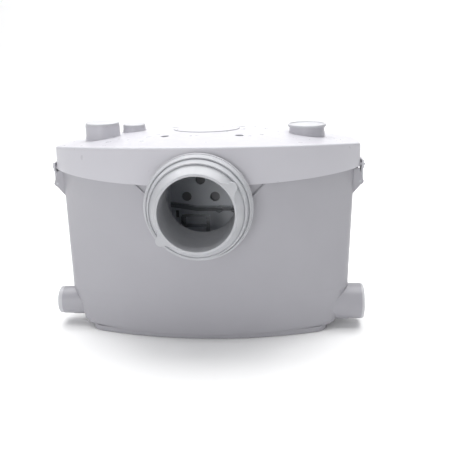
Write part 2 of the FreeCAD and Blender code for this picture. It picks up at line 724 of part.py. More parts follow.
def make_clip(side):
    x0 = LID_HALF_WIDTH + CLIP_GAP
    x1 = x0 + CLIP_THICKNESS
    half = CLIP_WIDTH / 2
    neck = half - EAR_THICKNESS - SEAT_GAP
    face = block(x0, x1, CLIP_Y - half, CLIP_Y + half, LUG_TOP + SEAT_GAP, CLIP_TOP)
    stem = block(x0, x1, CLIP_Y - neck, CLIP_Y + neck, CLIP_PIVOT_HEIGHT, LUG_TOP + 1)
    centre = (CLIP_PIVOT_OUT, CLIP_Y - neck, CLIP_PIVOT_HEIGHT)
    knuckle = cylinder(EAR_RADIUS - SEAT_GAP, centre, AXIS_Y, 2 * neck)
    window_half = CATCH_WIDTH / 2 + WINDOW_MARGIN
    window_bottom = SKIRT_BOTTOM - WINDOW_MARGIN / 2
    window_top = CATCH_TOP + WINDOW_MARGIN / 3
    window = block(x0 - 1, x1 + 9, CLIP_Y - window_half, CLIP_Y + window_half, window_bottom, window_top)
    grip = plate([
        (x1 - 1, CLIP_Y - neck, window_bottom), (x1 + GRIP_REACH, CLIP_Y - neck, window_bottom),
        (x1 - 1, CLIP_Y - neck, window_bottom - 4 * GRIP_REACH)], (0, 2 * neck, 0))
    edges = fuse([face, stem, knuckle, grip])
    hole = cylinder(PIN_RADIUS + PIN_CLEARANCE, centre, AXIS_Y, 2 * neck)
    clip = cut(edges, [window, hole])
    return clip if side > 0 else mirrored(clip)


def make_clip_pin(side):
    start = (side * CLIP_PIVOT_OUT, CLIP_Y - CLIP_WIDTH / 2, CLIP_PIVOT_HEIGHT)
    return cylinder(PIN_RADIUS, start, AXIS_Y, CLIP_WIDTH)


# Macerator basket: a perforated U-shaped drum between two end plates

def basket_profile(depth, front_top):
    """The basket's cross-section in the YZ plane, depth outside its inner wall."""
    radius = BASKET_RADIUS + depth
    front = SHAFT_Y - radius
    back = SHAFT_Y + radius
    x = BASKET_LEFT
    bowl = Part.Arc(V(x, front, SHAFT_Z), V(x, SHAFT_Y, SHAFT_Z - radius), V(x, back, SHAFT_Z)).toShape()
    corners = [V(x, back, SHAFT_Z), V(x, back, BASKET_TOP), V(x, BOSS_BACK + BASKET_CLEARANCE, BASKET_TOP),
               V(x, BOSS_BACK + BASKET_CLEARANCE, front_top), V(x, front, front_top), V(x, front, SHAFT_Z)]
    sides = [Part.makeLine(a, b) for a, b in zip(corners, corners[1:]) if (a - b).Length > 1e-6]
    return Part.Face(Part.Wire([bowl] + sides))


def make_basket():
    left = BASKET_LEFT - BASKET_WALL
    length = BASKET_RIGHT - BASKET_LEFT
    outer = basket_profile(BASKET_WALL, BASKET_FRONT_TOP).extrude(V(length + 2 * BASKET_WALL, 0, 0))
    outer.translate(V(-BASKET_WALL, 0, 0))
    inner = basket_profile(0, BASKET_FRONT_TOP).extrude(V(length, 0, 0))
    open_front = block(
        BASKET_LEFT, BASKET_RIGHT, SHAFT_Y - FAR, SHAFT_Y + BASKET_RADIUS, BASKET_FRONT_TOP, FAR)
    shell = cut(outer, [inner, open_front])
    lugs = []
    for x, y in screw_places():
        wall = left if x < 0 else BASKET_RIGHT + BASKET_WALL
        pad = cylinder(SCREW_POST_RADIUS, (x, y, BASKET_TOP - LUG_THICKNESS), AXIS_Z, LUG_THICKNESS)
        reach = min(y + SCREW_POST_RADIUS, SHAFT_Y + BASKET_RADIUS)
        tongue = block(x, wall, y - SCREW_POST_RADIUS, reach, BASKET_TOP - LUG_THICKNESS, BASKET_TOP)
        lugs += [pad, tongue]
    shell = fuse([shell] + lugs)
    holes = []
    for x, z in back_holes():
        holes.append(cylinder(HOLE_RADIUS, (x, SHAFT_Y + BASKET_RADIUS - 5, z), AXIS_Y, 10))
    for row, angle in enumerate((-150, -120, -90, -60, -30)):
        turn = math.radians(angle)
        direction = V(0, math.cos(turn), math.sin(turn))
        for x in range(3):
            start = V(BASKET_LEFT + 22 + 29 * x + 7 * (row % 2), SHAFT_Y, SHAFT_Z)
            start += direction * (BASKET_RADIUS - 5)
            holes.append(cylinder(HOLE_RADIUS, (start.x, start.y, start.z), direction, 10))
    for x, y in screw_places():
        holes.append(cylinder(SCREW_SHANK_RADIUS, (x, y, BASKET_TOP - 2 * LUG_THICKNESS), AXIS_Z, FAR))
    back = SHAFT_Y + BASKET_RADIUS
    holes.append(block(-50.5, -46, back - 3, back + 8, 131, 142))
    holes.append(block(-43.5, -40, back - 3, back + 8, 121, 133))
    holes.append(cylinder(BUSH_RADIUS, (left - 1, SHAFT_Y, SHAFT_Z), AXIS_X, BASKET_WALL + 2))
    holes.append(cylinder(HUB_RADIUS - 2, (BASKET_RIGHT - 1, SHAFT_Y, SHAFT_Z), AXIS_X, BASKET_WALL + 2))
    return cut(shell, holes)


def back_holes():
    """Two staggered rows of holes, with a third above them."""
    places = []
    for row in range(3):
        shift = HOLE_PITCH / 2 if row % 2 else 0
        for column in range(3):
            x = -34 + HOLE_PITCH * column - shift
            if BASKET_LEFT + HOLE_RADIUS < x < BASKET_RIGHT - HOLE_RADIUS:
                places.append((x, HOLE_FIRST_ROW + HOLE_ROW * row))
    return places


def make_cutter_bar():
    """The fixed shear bar on the basket's back wall, with its two bolt heads."""
    back = SHAFT_Y + BASKET_RADIUS
    bar = plate([
        (BASKET_LEFT, back, CUTTER_HEIGHT + 8), (BASKET_LEFT, back, CUTTER_HEIGHT + 2),
        (BASKET_LEFT + 36, back, CUTTER_HEIGHT - 4), (BASKET_RIGHT, back, CUTTER_HEIGHT - 4),
        (BASKET_RIGHT, back, CUTTER_HEIGHT + 2), (BASKET_LEFT + 36, back, CUTTER_HEIGHT + 2)], (0, -7, 0))
    bolts = [hexagon(9, (x, back - 7, CUTTER_HEIGHT - 1), AXIS_Y * -1, 4) for x in (12, 33)]
    return fuse([bar] + bolts)


def make_blade():
    """A stamped frame with two windows each side of its hub."""
    hub = cylinder(HUB_RADIUS, (BLADE_LEFT, SHAFT_Y, SHAFT_Z), AXIS_X, BLADE_RIGHT - BLADE_LEFT)
    half = BLADE_THICKNESS / 2
    bottom = SHAFT_Z - BLADE_TIP
    frame = block(BLADE_LEFT, BLADE_RIGHT, SHAFT_Y - half, SHAFT_Y + half, bottom, bottom + 2 * BLADE_TIP)
    tools = [cylinder(SHAFT_RADIUS, (BLADE_LEFT - 1, SHAFT_Y, SHAFT_Z), AXIS_X, 60)]
    upper = (BLADE_TIP - 13, BLADE_TIP - 2.5)
    lower = (HUB_RADIUS + 3, BLADE_TIP - 17)
    for side in (-1, 1):
        for low, high in (upper, lower):
            tools.append(block(
                BLADE_LEFT + BLADE_BAR, BLADE_RIGHT - BLADE_BAR, SHAFT_Y - 9, SHAFT_Y + 9,
                SHAFT_Z + side * low, SHAFT_Z + side * high))
    return cut(fuse([frame, hub]), tools)


def make_blade_nut():
    nut = hexagon(18, (BLADE_LEFT, SHAFT_Y, SHAFT_Z), AXIS_X * -1, 7)
    return nut.cut(cylinder(SHAFT_RADIUS, (BLADE_LEFT - 9, SHAFT_Y, SHAFT_Z), AXIS_X, 12))


# Pump and motor, from left to right along the shaft

def stations():
    """Distances along X where each piece of the pump and motor starts."""
    plate_start = BASKET_RIGHT + BASKET_WALL + SUCTION_GAP
    volute = plate_start + PLATE_THICKNESS
    shield = volute + VOLUTE_WIDTH
    can = shield + SHIELD_THICKNESS
    return plate_start, volute, shield, can, can + MOTOR_LENGTH


def along(x):
    return (x, SHAFT_Y, SHAFT_Z)


def make_shaft():
    start = BASKET_LEFT - BASKET_WALL - 7
    return cylinder(SHAFT_RADIUS, along(start), AXIS_X, stations()[4] - 1 - start)


def make_bush():
    start = BASKET_LEFT - BASKET_WALL - 6
    outer = fuse([
        cylinder(BUSH_RADIUS, along(start), AXIS_X, 6 + BASKET_WALL + 3),
        cylinder(BUSH_RADIUS + 4, along(start), AXIS_X, 6)])
    return outer.cut(cylinder(SHAFT_RADIUS + RUNNING_CLEARANCE, along(start - 1), AXIS_X, 30))


def screw_ring(radius, start, length, count=4):
    shapes = []
    for i in range(count):
        angle = math.radians(20 + 360 / count * i)
        y = SHAFT_Y + MOTOR_BOLT_CIRCLE * math.cos(angle)
        z = SHAFT_Z + MOTOR_BOLT_CIRCLE * math.sin(angle)
        shapes.append(cylinder(radius, (start, y, z), AXIS_X, length))
    return shapes


def make_suction_plate():
    start, volute = stations()[:2]
    disc = cylinder(VOLUTE_RADIUS, along(start), AXIS_X, PLATE_THICKNESS)
    posts = []
    for angle in (45, 135, 225, 315):
        turn = math.radians(angle)
        y = SHAFT_Y + 30 * math.cos(turn)
        z = SHAFT_Z + 30 * math.sin(turn)
        posts.append(cylinder(4, (start - SUCTION_GAP, y, z), AXIS_X, SUCTION_GAP + 1))
    throat = cylinder(HUB_RADIUS + 5, along(start - 1), AXIS_X, 9)
    return cut(fuse([disc] + posts), [throat] + screw_ring(2.0, start - 1, 9))


def make_volute():
    volute, shield = stations()[1:3]
    case = cylinder(VOLUTE_RADIUS, along(volute), AXIS_X, VOLUTE_WIDTH)
    middle = volute + VOLUTE_WIDTH / 2
    top = (middle, SHAFT_Y + PIPE_OFFSET, SHAFT_Z)
    drop = SHAFT_Z - PIPE_JOINT
    spout = cylinder(PIPE_RADIUS, (top[0], top[1], PIPE_JOINT), AXIS_Z, drop)
    room = cylinder(IMPELLER_RADIUS + 5, along(volute), AXIS_X, VOLUTE_WIDTH - PLATE_THICKNESS)
    channel = cylinder(PIPE_RADIUS - PIPE_WALL, (top[0], top[1], PIPE_JOINT - FAR), AXIS_Z, drop + FAR)
    seal_hole = cylinder(SEAL_RADIUS, along(shield - PLATE_THICKNESS - 1), AXIS_X, PLATE_THICKNESS + 2)
    screw_holes = screw_ring(2.0, volute - 1, VOLUTE_WIDTH + 2)
    return cut(fuse([case, spout]), [room, channel, seal_hole] + screw_holes)


def make_impeller():
    volute, shield = stations()[1:3]
    back = shield - PLATE_THICKNESS - 1
    disc = cylinder(IMPELLER_RADIUS, along(back - 2.5), AXIS_X, 2.5)
    hub = cylinder(HUB_RADIUS, along(volute + 1), AXIS_X, back - volute - 1)
    vanes = []
    for i in range(IMPELLER_VANES):
        reach = IMPELLER_RADIUS - HUB_RADIUS + 1
        arc = ring(reach, reach - 2, (back - 9.5, SHAFT_Y, SHAFT_Z + HUB_RADIUS - 1 + reach / 2), AXIS_X, 8)
        sector = block(0, FAR, SHAFT_Y, SHAFT_Y + FAR, SHAFT_Z, SHAFT_Z + FAR)
        vane = arc.common(sector).common(cylinder(IMPELLER_RADIUS, along(volute), AXIS_X, VOLUTE_WIDTH))
        vane.rotate(V(*along(0)), AXIS_X, 360 / IMPELLER_VANES * i)
        vanes.append(vane)
    return fuse([disc, hub] + vanes).cut(cylinder(SHAFT_RADIUS, along(0), AXIS_X, FAR))


def make_seal():
    shield, can = stations()[2:4]
    start = shield - PLATE_THICKNESS
    return ring(SEAL_RADIUS, SHAFT_RADIUS + RUNNING_CLEARANCE, along(start), AXIS_X, can - start)


def make_shield():
    shield = stations()[2]
    disc = fuse([cylinder(VOLUTE_RADIUS, along(shield), AXIS_X, SHIELD_THICKNESS),
                 cylinder(MOTOR_RADIUS - MOTOR_WALL, along(shield), AXIS_X, SHIELD_THICKNESS + 3)])
    cup = cylinder(BEARING_RADIUS + 3, along(shield + SHIELD_THICKNESS), AXIS_X, BEARING_WIDTH)
    room = cylinder(BEARING_RADIUS, along(shield + SHIELD_THICKNESS), AXIS_X, BEARING_WIDTH)
    inner = cylinder(MOTOR_RADIUS - 2 * MOTOR_WALL, along(shield + SHIELD_THICKNESS), AXIS_X, 3)
    body = fuse([disc.cut(inner), cup])
    seal_hole = cylinder(SEAL_RADIUS, along(shield - 1), AXIS_X, SHIELD_THICKNESS + 2)
    return cut(body, [room, seal_hole] + screw_ring(2.0, shield - 1, 30))


def make_end_cap():
    end = stations()[4]
    body = fuse([cylinder(MOTOR_RADIUS, along(end), AXIS_X, SHIELD_THICKNESS),
                 cylinder(BEARING_RADIUS + 3, along(end - BEARING_WIDTH), AXIS_X, BEARING_WIDTH)])
    body = body.cut(cylinder(BEARING_RADIUS, along(end - BEARING_WIDTH), AXIS_X, BEARING_WIDTH))
    rim_edges = [e for e in body.Edges if e.BoundBox.XMin > end + SHIELD_THICKNESS - 0.01]
    return body.makeChamfer(3, rim_edges)


def make_can():
    can, end = stations()[3:5]
    return ring(MOTOR_RADIUS, MOTOR_RADIUS - MOTOR_WALL, along(can), AXIS_X, end - can)


def make_bearing(start):
    return ring(BEARING_RADIUS, SHAFT_RADIUS + RUNNING_CLEARANCE, along(start), AXIS_X, BEARING_WIDTH)


def make_stator():
    can, end = stations()[3:5]
    length = end - can - 2 * BEARING_WIDTH - 12
    start = can + BEARING_WIDTH + 6
    return ring(MOTOR_RADIUS - MOTOR_WALL, ROTOR_RADIUS + 1, along(start), AXIS_X, length)


def make_windings():
    can, end = stations()[3:5]
    start = can + BEARING_WIDTH + 1
    stop = end - BEARING_WIDTH - 1
    length = 5
    outer = MOTOR_RADIUS - MOTOR_WALL - 3
    return [ring(outer, ROTOR_RADIUS + 2, along(x), AXIS_X, length) for x in (start, stop - length)]


def make_rotor():
    can, end = stations()[3:5]
    start = can + BEARING_WIDTH + 4
    length = end - can - 2 * BEARING_WIDTH - 8
    return ring(ROTOR_RADIUS, SHAFT_RADIUS, along(start), AXIS_X, length)


def make_pump_screws():
    start, volute, shield, can = stations()[:4]
    heads = screw_ring(3.6, start - 3, 3)
    shanks = screw_ring(2.0, start, can - 1 - start)
    return [fuse([head, shank]) for head, shank in zip(heads, shanks)]


def cradle_span():
    can, end = stations()[3:5]
    return can + 4, end - 12


def make_cradle():
    left, right = cradle_span()
    bottom = FLOOR_THICKNESS + MOUNT_HEIGHT
    base = block(left, right, SHAFT_Y - 26, SHAFT_Y + 26, bottom, bottom + 3)
    ribs = [block(x, x + 4, SHAFT_Y - 24, SHAFT_Y + 24, bottom + 2, SHAFT_Z - 22) for x in (left, right - 4)]
    saddle = cylinder(MOTOR_RADIUS, along(0), AXIS_X, FAR)
    return fuse([base] + [rib.cut(saddle) for rib in ribs])


def make_motor_mounts():
    left, right = cradle_span()
    places = [(x, SHAFT_Y + y) for x in (left + 6, right - 6) for y in (-20, 20)]
    return [cylinder(5, (x, y, FLOOR_THICKNESS), AXIS_Z, MOUNT_HEIGHT) for x, y in places]


# Discharge pipe, non-return valve and outlet tube

def pipe_path(points, bend):
    """Straight runs joined by tangent arcs of one radius."""
    points = [V(*p) for p in points]
    edges = []
    start = points[0]
    for before, corner, after in zip(points, points[1:], points[2:]):
        into = (corner - before).normalize()
        out = (after - corner).normalize()
        turn = into.getAngle(out)
        trim = bend * math.tan(turn / 2)
        a = corner - into * trim
        b = corner + out * trim
        towards = (out - into).normalize()
        middle = corner + towards * (bend / math.cos(turn / 2) - bend)
        edges.append(Part.makeLine(start, a))
        edges.append(Part.Arc(a, middle, b).toShape())
        start = b
    edges.append(Part.makeLine(start, points[-1]))
    return Part.Wire(edges)


def swept(path, radius):
    start = path.Edges[0].Vertexes[0].Point
    direction = (path.Edges[0].Vertexes[1].Point - start).normalize()
    circle = Part.Wire([Part.makeCircle(radius, start, direction)])
    return path.makePipeShell([circle], True, False)


def make_discharge_pipe():
    volute = stations()[1]
    x = volute + VOLUTE_WIDTH / 2
    y = SHAFT_Y + PIPE_OFFSET
    path = pipe_path([
        (x, y, PIPE_JOINT), (x, y, PIPE_HEIGHT), (OUTLET_SPIGOT[0], OUTLET_SPIGOT[1], PIPE_HEIGHT),
        (OUTLET_SPIGOT[0], OUTLET_SPIGOT[1], VALVE_BOTTOM)], PIPE_BEND)
    return swept(path, PIPE_RADIUS).cut(swept(path, PIPE_RADIUS - PIPE_WALL))


def valve_centre(z):
    return (OUTLET_SPIGOT[0], OUTLET_SPIGOT[1], z)


def valve_pivot():
    x, y = OUTLET_SPIGOT[:2]
    return (x, y + VALVE_FLAP_RADIUS, VALVE_BOTTOM + VALVE_WALL + VALVE_PIVOT_RISE)


def make_valve_body():
    """A round chamber, open at its ends, with two ears inside for the flap's pin."""
    body = cylinder(VALVE_RADIUS, valve_centre(VALVE_BOTTOM), AXIS_Z, VALVE_TOP - VALVE_BOTTOM)
    room_height = VALVE_TOP - VALVE_BOTTOM - 2 * VALVE_WALL
    room = cylinder(VALVE_RADIUS - VALVE_WALL, valve_centre(VALVE_BOTTOM + VALVE_WALL), AXIS_Z, room_height)
    shell = body.cut(room)
    shell = shell.cut(cylinder(PIPE_RADIUS - PIPE_WALL, valve_centre(VALVE_BOTTOM - 1), AXIS_Z, 9))
    shell = shell.cut(cylinder(OUTLET_TUBE_RADIUS - PIPE_WALL, valve_centre(VALVE_TOP - 9), AXIS_Z, 20))
    x, y, z = valve_pivot()
    foot = z - VALVE_KNUCKLE + SEAT_GAP
    ears = []
    for end in (-1, 1):
        inner = x + end * (VALVE_KNUCKLE_HALF + SEAT_GAP)
        outer = x + end * (VALVE_KNUCKLE_HALF + EAR_THICKNESS)
        ear = block(inner, outer, y - VALVE_KNUCKLE, y + VALVE_PIVOT_RISE, foot, z + VALVE_KNUCKLE)
        ears.append(ear.common(body))
    return cut(fuse([shell] + ears), [valve_pin_shape(PIN_RADIUS)])


def valve_pin_shape(radius):
    x, y, z = valve_pivot()
    half = VALVE_KNUCKLE_HALF + EAR_THICKNESS
    return cylinder(radius, (x - half, y, z), AXIS_X, 2 * half)


def make_valve_flap():
    x, y, z = valve_pivot()
    bottom = VALVE_BOTTOM + VALVE_WALL + FLAP_SEAT_GAP
    disc = cylinder(VALVE_FLAP_RADIUS, valve_centre(bottom), AXIS_Z, FLAP_THICKNESS)
    side = VALVE_KNUCKLE_HALF
    arm = block(x - side, x + side, OUTLET_SPIGOT[1], y, bottom, bottom + FLAP_THICKNESS)
    stem = block(x - side, x + side, y - VALVE_KNUCKLE, y, bottom, z)
    knuckle = cylinder(VALVE_KNUCKLE, (x - side, y, z), AXIS_X, 2 * side)
    return cut(fuse([disc, arm, stem, knuckle]), [valve_pin_shape(PIN_RADIUS + PIN_CLEARANCE)])


def make_valve_pin():
    return valve_pin_shape(PIN_RADIUS)


def make_outlet_tube():
    top = OUTLET_SPIGOT[4] - CAP_STEM - 1.5
    bore = OUTLET_TUBE_RADIUS - PIPE_WALL
    tube = ring(OUTLET_TUBE_RADIUS, bore, valve_centre(VALVE_TOP), AXIS_Z, top - VALVE_TOP)
    flange = ring(VALVE_RADIUS, OUTLET_TUBE_RADIUS - PIPE_WALL, valve_centre(VALVE_TOP), AXIS_Z, VALVE_WALL)
    return fuse([tube, flange])


# Pressure switch on its dip column

def column_at(z):
    return (SWITCH_X, SWITCH_Y, z)


def make_pressure_chamber():
    tube = cylinder(COLUMN_RADIUS, column_at(FLOOR_THICKNESS), AXIS_Z, COLUMN_TOP - FLOOR_THICKNESS)
    drum = cylinder(DRUM_RADIUS, column_at(COLUMN_TOP), AXIS_Z, 6)
    bore = cylinder(COLUMN_RADIUS - COLUMN_WALL, column_at(FLOOR_THICKNESS - 1), AXIS_Z, COLUMN_TOP)
    mouth = cylinder(DRUM_RADIUS - 4, column_at(COLUMN_TOP + 2.5), AXIS_Z, 9)
    slots = []
    for angle in (0, 60, 120):
        slot = block(-FAR, FAR, -5, 5, FLOOR_THICKNESS - 1, FLOOR_THICKNESS + 10)
        slot.rotate(V(0, 0, 0), AXIS_Z, angle + 30)
        slot.translate(V(SWITCH_X, SWITCH_Y, 0))
        slots.append(slot)
    throat = cylinder(COLUMN_RADIUS - COLUMN_WALL, column_at(COLUMN_TOP - 5), AXIS_Z, 20)
    return cut(fuse([tube, drum]), [bore, mouth, throat] + slots)


def diaphragm_height():
    return COLUMN_TOP + 6


def make_diaphragm():
    z = diaphragm_height()
    disc = cylinder(DRUM_RADIUS, column_at(z), AXIS_Z, DIAPHRAGM_THICKNESS)
    bead = ring(DRUM_RADIUS - 7, DRUM_RADIUS - 10, column_at(z), AXIS_Z, DIAPHRAGM_THICKNESS + 1.5)
    return fuse([disc, bead])


def plunger_foot():
    return diaphragm_height() + DIAPHRAGM_THICKNESS + SEAT_GAP


def make_diaphragm_cover():
    z = diaphragm_height() + DIAPHRAGM_THICKNESS
    height = 10.0
    cover = cylinder(DRUM_RADIUS, column_at(z), AXIS_Z, height)
    room = cylinder(DRUM_RADIUS - 5, column_at(z), AXIS_Z, height - 3)
    hole = cylinder(PLUNGER_RADIUS + 0.1, column_at(z), AXIS_Z, 20)
    return cut(cover, [room, hole])


def make_plunger():
    foot = plunger_foot()
    return fuse([
        cylinder(2 * PLUNGER_RADIUS, column_at(foot), AXIS_Z, 2),
        cylinder(PLUNGER_RADIUS, column_at(foot), AXIS_Z, PLUNGER_LENGTH)])


def make_micro_switch():
    deck = diaphragm_height() + DIAPHRAGM_THICKNESS + 10
    bottom = plunger_foot() + PLUNGER_LENGTH + PLUNGER_TRAVEL + SEAT_GAP
    body = block(SWITCH_X - 15, SWITCH_X + 15, SWITCH_Y - 5, SWITCH_Y + 5, bottom, bottom + 14)
    legs = [
        block(SWITCH_X + x, SWITCH_X + x + 4, SWITCH_Y - 5, SWITCH_Y + 5, deck, bottom + 1)
        for x in (-15, 11)]
    blades = [
        block(SWITCH_X + x, SWITCH_X + x + 1, SWITCH_Y - 3, SWITCH_Y + 3, bottom + 13, bottom + 20)
        for x in (-10, 0, 9)]
    return fuse([body] + legs + blades)


def bevelled_drum(radius, z, height, bevel):
    drum = cylinder(radius, column_at(z), AXIS_Z, height)
    return drum.makeChamfer(bevel, [e for e in drum.Edges if e.BoundBox.ZMin > z + height - 0.01])


def make_switch_cover():
    deck = diaphragm_height() + DIAPHRAGM_THICKNESS + 10
    height = 36.0
    wall = 2.0
    bevel = 5.0
    outside = bevelled_drum(DRUM_RADIUS, deck, height, bevel)
    return outside.cut(bevelled_drum(DRUM_RADIUS - wall, deck, height - wall, bevel - wall / 2))


# Electrical pieces on the motor, cable gland and odour filter

def make_capacitor():
    can = stations()[3]
    z = SHAFT_Z + MOTOR_RADIUS + CAPACITOR_RADIUS + 1
    body = cylinder(CAPACITOR_RADIUS, (can + 2, SHAFT_Y - 12, z), AXIS_X, CAPACITOR_LENGTH)
    tabs = [block(can - 5, can + 3, SHAFT_Y - 12 + y, SHAFT_Y - 11 + y, z - 3, z + 3) for y in (-5, 4)]
    return fuse([body] + tabs)


def make_capacitor_clip():
    can, end = stations()[3:5]
    z = SHAFT_Z + MOTOR_RADIUS + CAPACITOR_RADIUS + 1
    y = SHAFT_Y - 12
    body = block(can + 16, end - 16, y - 17, y + 17, SHAFT_Z + 30, z + 4)
    motor = cylinder(MOTOR_RADIUS, along(0), AXIS_X, FAR)
    return cut(body, [motor, cylinder(CAPACITOR_RADIUS, (0, y, z), AXIS_X, FAR)])


def terminal_span():
    can, end = stations()[3:5]
    return can + 4, end - 4, SHAFT_Y + 8, SHAFT_Y + 42


def terminal_bottom():
    return SHAFT_Z + MOTOR_RADIUS + TERMINAL_STAND


def make_terminal_box():
    x0, x1, y0, y1 = terminal_span()
    bottom = terminal_bottom()
    top = bottom + TERMINAL_HEIGHT
    wall = TERMINAL_WALL
    room = block(x0 + wall, x1 - wall, y0 + wall, y1 - wall, bottom + wall, top + wall)
    body = block(x0, x1, y0, y1, bottom, top).cut(room)
    foot = block(x0 + 8, x1 - 8, y0, y1 - 12, SHAFT_Z + 24, bottom + 1)
    return fuse([body, foot.cut(cylinder(MOTOR_RADIUS, along(0), AXIS_X, FAR))])


def make_terminal_cover():
    x0, x1, y0, y1 = terminal_span()
    z = terminal_bottom() + TERMINAL_HEIGHT
    inset = TERMINAL_WALL + SEAT_GAP
    plug = block(x0 + inset, x1 - inset, y0 + inset, y1 - inset, z - 3, z)
    return fuse([block(x0, x1, y0, y1, z, z + TERMINAL_WALL), plug])


def make_gland():
    wall = tank_outline(GLAND_Z, 1).back
    profile = [
        (GLAND_BORE, wall - 9), (GLAND_HOLE + 4, wall - 9), (GLAND_HOLE + 4, wall - TANK_WALL - 1.2),
        (GLAND_HOLE, wall - TANK_WALL - 1.2), (GLAND_HOLE, wall + 0.2), (GLAND_HOLE + 3, wall + 0.2),
        (GLAND_HOLE + 3, wall + 3), (GLAND_HOLE, wall + 5.5), (GLAND_BORE, wall + 5.5)]
    return revolved(profile, (GLAND_X, 0, GLAND_Z), AXIS_Y)


def make_filter():
    x, y, radius, bore, end, cap, lip = VENT_SPIGOT
    outer = bore - SEAT_GAP - CAP_WALL
    return cylinder(outer, (x, y, end - CAP_STEM), AXIS_Z, CAP_STEM)


# The whole assembly, one file for each node

def main():
    os.makedirs("parts", exist_ok=True)
    left_side = (-1, LEFT_SPIGOT_RADIUS, LEFT_SPIGOT_BORE)
    right_side = (1, RIGHT_SPIGOT_RADIUS, RIGHT_SPIGOT_BORE)
    can, end = stations()[3:5]
    nodes = {
        "tank": make_tank(),
        "lid": make_lid(),
        "lid_gasket": make_gasket(),
        "lid_screws": make_lid_screws(),
        "lid_disc": disc_space(0, DISC_PROUD),
        "left_clip": make_clip(-1),
        "right_clip": make_clip(1),
        "left_clip_pin": make_clip_pin(-1),
        "right_clip_pin": make_clip_pin(1),
        "inlet_collar": make_collar(),
        "inlet_sleeve": make_sleeve(),
        "basin_inlet_cap": make_cap(*BASIN_SPIGOT),
        "outlet_cap": make_cap(*OUTLET_SPIGOT),
        "vent_cap": make_cap(*VENT_SPIGOT, dish=1.4),
        "carbon_filter": make_filter(),
        "left_inlet_plug": make_side_plug(*left_side, LEFT_SPIGOT_END, LEFT_PLUG_FLANGE),
        "right_inlet_plug": make_side_plug(*right_side, RIGHT_SPIGOT_END, RIGHT_PLUG_FLANGE),
        "left_inlet_flap": make_flap(*left_side),
        "right_inlet_flap": make_flap(*right_side),
        "left_flap_pin": make_flap_pin(-1, LEFT_SPIGOT_RADIUS),
        "right_flap_pin": make_flap_pin(1, RIGHT_SPIGOT_RADIUS),
        "macerator_basket": make_basket(),
        "cutter_bar": make_cutter_bar(),
        "macerator_blade": make_blade(),
        "blade_nut": make_blade_nut(),
        "drive_shaft": make_shaft(),
        "outboard_bush": make_bush(),
        "suction_plate": make_suction_plate(),
        "pump_volute": make_volute(),
        "pump_impeller": make_impeller(),
        "shaft_seal": make_seal(),
        "pump_screws": make_pump_screws(),
        "motor_front_shield": make_shield(),
        "motor_can": make_can(),
        "motor_end_cap": make_end_cap(),
        "front_bearing": make_bearing(can),
        "rear_bearing": make_bearing(end - BEARING_WIDTH),
        "motor_stator": make_stator(),
        "motor_windings": make_windings(),
        "motor_rotor": make_rotor(),
        "motor_cradle": make_cradle(),
        "motor_mounts": make_motor_mounts(),
        "discharge_pipe": make_discharge_pipe(),
        "valve_body": make_valve_body(),
        "valve_flap": make_valve_flap(),
        "valve_pin": make_valve_pin(),
        "outlet_tube": make_outlet_tube(),
        "pressure_chamber": make_pressure_chamber(),
        "pressure_diaphragm": make_diaphragm(),
        "diaphragm_cover": make_diaphragm_cover(),
        "switch_plunger": make_plunger(),
        "micro_switch": make_micro_switch(),
        "switch_cover": make_switch_cover(),
        "capacitor": make_capacitor(),
        "capacitor_clip": make_capacitor_clip(),
        "terminal_box": make_terminal_box(),
        "terminal_cover": make_terminal_cover(),
        "cable_gland": make_gland(),
    }
    for name, shape in nodes.items():
        save(name, shape)


main()
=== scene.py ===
import json
import math

import bpy
from mathutils import Matrix, Vector

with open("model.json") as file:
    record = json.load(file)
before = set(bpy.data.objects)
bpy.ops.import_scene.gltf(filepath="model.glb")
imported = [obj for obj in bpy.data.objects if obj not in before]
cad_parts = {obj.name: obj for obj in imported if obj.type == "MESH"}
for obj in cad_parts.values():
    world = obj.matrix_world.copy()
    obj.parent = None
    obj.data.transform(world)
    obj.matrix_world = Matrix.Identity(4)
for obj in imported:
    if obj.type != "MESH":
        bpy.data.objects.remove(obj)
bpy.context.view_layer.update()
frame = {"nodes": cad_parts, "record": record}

nodes = frame["nodes"]

# Camera, fitted to the photograph: metres, and pixels of a 450 by 450 image
IMAGE = 450
FOCAL_PIXELS = 632.0
SENSOR = 36.0
CENTRE_X = 224.2
CENTRE_Y = 224.5
CAMERA_PLACE = (0.0770, -0.7876, 0.3811)
CAMERA_RIGHT = (0.99783, 0.06182, -0.02271)
CAMERA_UP = (0.00376, 0.29077, 0.95684)

# The middle band of a noise, where nearly all its values lie
NOISE_LOW = 0.3
NOISE_HIGH = 0.7
SPARK_GRAIN = 1400.0

# Floor and backdrop, metres
FLOOR_HALF = 5.0
FLOOR_FRONT = -4.0
FLOOR_BACK = 2.0
FLOOR_TURN = 1.2
FLOOR_TURN_STEPS = 12
BACKDROP_TOP = 4.5

# Lights: name, place, target, size in metres and power in watts
MIDDLE = (0.0, 0.0, 0.13)
WORLD_STRENGTH = 0.19
LIGHTS = (
    ("top", (0.0, 0.25, 1.8), MIDDLE, (2.6, 1.6), 53.0),
    ("backdrop", (0.0, 1.0, 2.4), (0.0, 3.2, 0.8), (4.0, 1.0), 60.0),
    ("left", (-1.6, -1.0, 0.8), MIDDLE, (0.8, 1.2), 2.5),
    ("front", (-0.4, -1.8, 0.5), MIDDLE, (0.7, 0.7), 9.0),
    ("upper_front", (0.0, -1.4, 1.35), MIDDLE, (0.7, 0.7), 2.5),
)


def srgb(red, green, blue):
    """A screen colour, 0 to 255, turned into the renderer's linear values."""
    def linear(value):
        value = value / 255
        return value / 12.92 if value <= 0.04045 else ((value + 0.055) / 1.055) ** 2.4
    return (linear(red), linear(green), linear(blue), 1.0)


# Materials: each is built from noise in the object's own space

